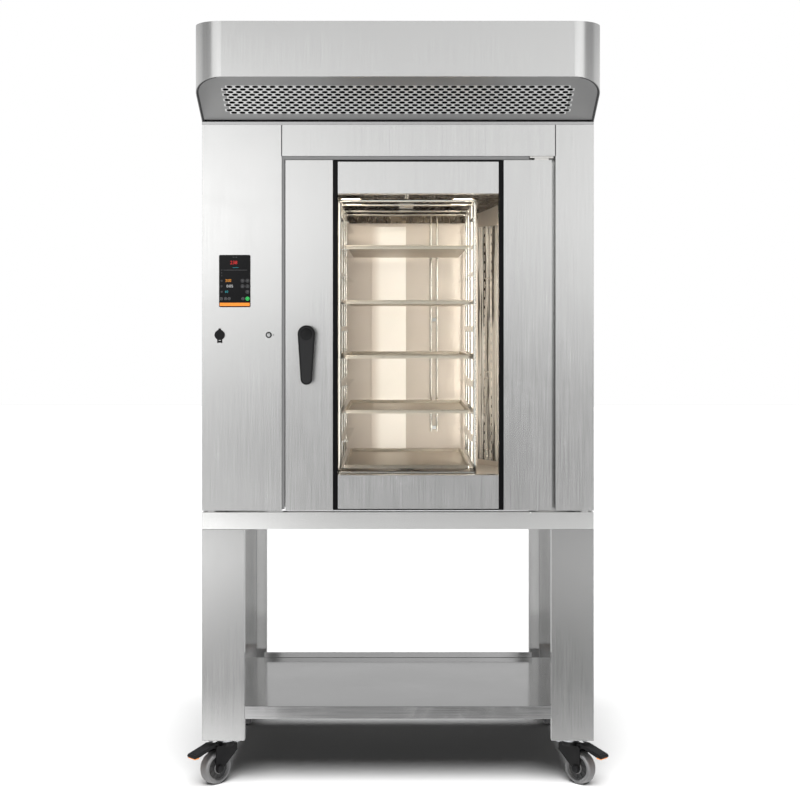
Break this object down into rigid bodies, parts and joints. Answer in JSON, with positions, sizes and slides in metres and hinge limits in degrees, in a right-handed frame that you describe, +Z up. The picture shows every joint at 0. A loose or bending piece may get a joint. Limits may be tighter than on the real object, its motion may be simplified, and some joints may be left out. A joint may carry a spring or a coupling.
{
  "type": "rack oven on castor stand",
  "caption": "Compact rotating-rack baking oven with glazed hinged door, touch controls and extraction hood, on an open castor stand with a shelf.",
  "frame": {"origin": "middle of the footprint's box, on the floor", "axes": "+Z up, +X to the right seen from the front, +Y away from the viewer; the door faces -Y"},
  "size_m": [1.2852, 1.247, 2.36],
  "materials": {
    "stainless": "brushed stainless, vertical grain on panels",
    "stainless_dull": "mill finish stainless sheet",
    "bright_steel": "electropolished stainless",
    "chamber_sheet": "bright annealed sheet, warm with heat tint",
    "tray_steel": "plain baking sheet",
    "grille_steel": "perforated stainless",
    "zinc": "zinc plated",
    "caster_black": "black powder coat",
    "wheel_grey": "non-marking grey tread",
    "mineral_wool": "mineral wool board",
    "motor_grey": "painted housing",
    "rod_steel": "heat-darkened alloy tube",
    "lamp_glass": "frosted borosilicate",
    "screen_glass": "black glass touch screen",
    "black_plastic": "satin black",
    "galvanised": "galvanised sheet",
    "brass": "nickel-free brass",
    "black_trim": "black glass-filled trim",
    "door_glass": "clear toughened glass",
    "seal_rubber": "silicone seal",
    "button_white": "white cap"
  },
  "bodies": {
    "cabinet": {"stand_sides": "stainless_dull", "stand_rails": "stainless_dull", "stand_shelf": "stainless_dull", "caster_plates": "zinc", "rear_forks": "caster_black", "side_panels": "stainless", "rear_panel": "stainless_dull", "roof_panel": "stainless", "base_pan": "stainless_dull", "control_panel": "stainless", "lintel_panel": "stainless", "right_column": "stainless", "mouth_frame": "stainless_dull", "chamber_walls": "chamber_sheet", "chamber_ceiling": "chamber_sheet", "chamber_floor": "chamber_sheet", "air_baffle": "chamber_sheet", "plenum_shell": "stainless_dull", "insulation": "mineral_wool", "fan_motor": "motor_grey", "heating_rods": "rod_steel", "water_pipes": "bright_steel", "chamber_lamps": "lamp_glass", "rack_motor": "motor_grey", "hinge_brackets": "bright_steel", "latch_keeper": "bright_steel", "touch_screen": "screen_glass", "panel_bezels": "black_plastic", "control_box": "galvanised", "hood_shell": "stainless", "hood_grille": "grille_steel", "vent_duct": "stainless_dull", "blower_case": "galvanised", "service_fittings": "brass"},
    "door": {"door_stiles": "stainless", "door_rails": "stainless", "door_trims": "black_trim", "outer_glass": "door_glass", "inner_glass": "door_glass", "door_inner_frame": "stainless_dull", "door_gasket": "seal_rubber", "hinge_pins": "bright_steel"},
    "handle": {"handle_lever": "black_plastic", "latch_spindle": "bright_steel"},
    "rack": {"rack_frame": "bright_steel", "rack_drive": "stainless_dull", "trays": "tray_steel"},
    "fan_wheel": {"fan_wheel": "stainless_dull"},
    "blower_wheel": {"blower_wheel": "black_plastic"},
    "usb_cap": {"usb_cap": "black_plastic"},
    "power_button": {"power_button": "button_white"},
    "vent_flap": {"vent_flap": "stainless_dull"},
    "front_fork_left": {"front_fork_left": "caster_black"},
    "front_fork_right": {"front_fork_right": "caster_black"},
    "front_wheel_left": {"front_wheel_left": "wheel_grey"},
    "front_wheel_right": {"front_wheel_right": "wheel_grey"},
    "rear_wheel_left": {"rear_wheel_left": "wheel_grey"},
    "rear_wheel_right": {"rear_wheel_right": "wheel_grey"},
    "brake_pedal_left": {"brake_pedal_left": "caster_black"},
    "brake_pedal_right": {"brake_pedal_right": "caster_black"}
  },
  "joints": [
    {"name": "door_swing", "type": "hinge", "parent": "cabinet", "child": "door", "pos_m": [0.4405, -0.3855, 1.346], "axis": [0, 0, 1], "range_deg": [0, 110]},
    {"name": "handle_turn", "type": "hinge", "parent": "door", "child": "handle", "pos_m": [-0.277, -0.4105, 1.386], "axis": [0, 1, 0], "range_deg": [0, 90]},
    {"name": "rack_turn", "type": "hinge", "parent": "cabinet", "child": "rack", "pos_m": [0.029, 0.0595, 0.905], "axis": [0, 0, 1], "continuous": true},
    {"name": "fan_spin", "type": "hinge", "parent": "cabinet", "child": "fan_wheel", "pos_m": [-0.448, -0.04685, 1.3825], "axis": [1, 0, 0], "continuous": true},
    {"name": "blower_spin", "type": "hinge", "parent": "cabinet", "child": "blower_wheel", "pos_m": [0.3, 0.2895, 2.3], "axis": [0, 0, 1], "continuous": true},
    {"name": "usb_flap", "type": "hinge", "parent": "cabinet", "child": "usb_cap", "pos_m": [-0.5455, -0.4145, 1.3615], "axis": [1, 0, 0], "range_deg": [0, 120]},
    {"name": "button_press", "type": "slide", "parent": "cabinet", "child": "power_button", "axis": [0, 1, 0], "range_m": [0, 0.0015], "stiffness_N_per_m": 400},
    {"name": "vent_flap_turn", "type": "hinge", "parent": "cabinet", "child": "vent_flap", "pos_m": [-0.171, 0.1695, 1.976], "axis": [1, 0, 0], "range_deg": [0, 90]},
    {"name": "swivel_left", "type": "hinge", "parent": "cabinet", "child": "front_fork_left", "pos_m": [-0.535, -0.3485, 0.126], "axis": [0, 0, 1], "continuous": true},
    {"name": "front_roll_left", "type": "hinge", "parent": "front_fork_left", "child": "front_wheel_left", "pos_m": [-0.56258, -0.37608, 0.05], "axis": [0.7071, -0.7071, 0], "continuous": true},
    {"name": "brake_left", "type": "hinge", "parent": "front_fork_left", "child": "brake_pedal_left", "pos_m": [-0.56823, -0.38173, 0.117], "axis": [0.7071, -0.7071, 0], "range_deg": [0, 12]},
    {"name": "rear_roll_left", "type": "hinge", "parent": "cabinet", "child": "rear_wheel_left", "pos_m": [-0.535, 0.2875, 0.05], "axis": [1, 0, 0], "continuous": true},
    {"name": "swivel_right", "type": "hinge", "parent": "cabinet", "child": "front_fork_right", "pos_m": [0.535, -0.3485, 0.126], "axis": [0, 0, 1], "continuous": true},
    {"name": "front_roll_right", "type": "hinge", "parent": "front_fork_right", "child": "front_wheel_right", "pos_m": [0.56258, -0.37608, 0.05], "axis": [0.7071, 0.7071, 0], "continuous": true},
    {"name": "brake_right", "type": "hinge", "parent": "front_fork_right", "child": "brake_pedal_right", "pos_m": [0.56823, -0.38173, 0.117], "axis": [0.7071, 0.7071, 0], "range_deg": [0, 12]},
    {"name": "rear_roll_right", "type": "hinge", "parent": "cabinet", "child": "rear_wheel_right", "pos_m": [0.535, 0.2875, 0.05], "axis": [1, 0, 0], "continuous": true}
  ]
}
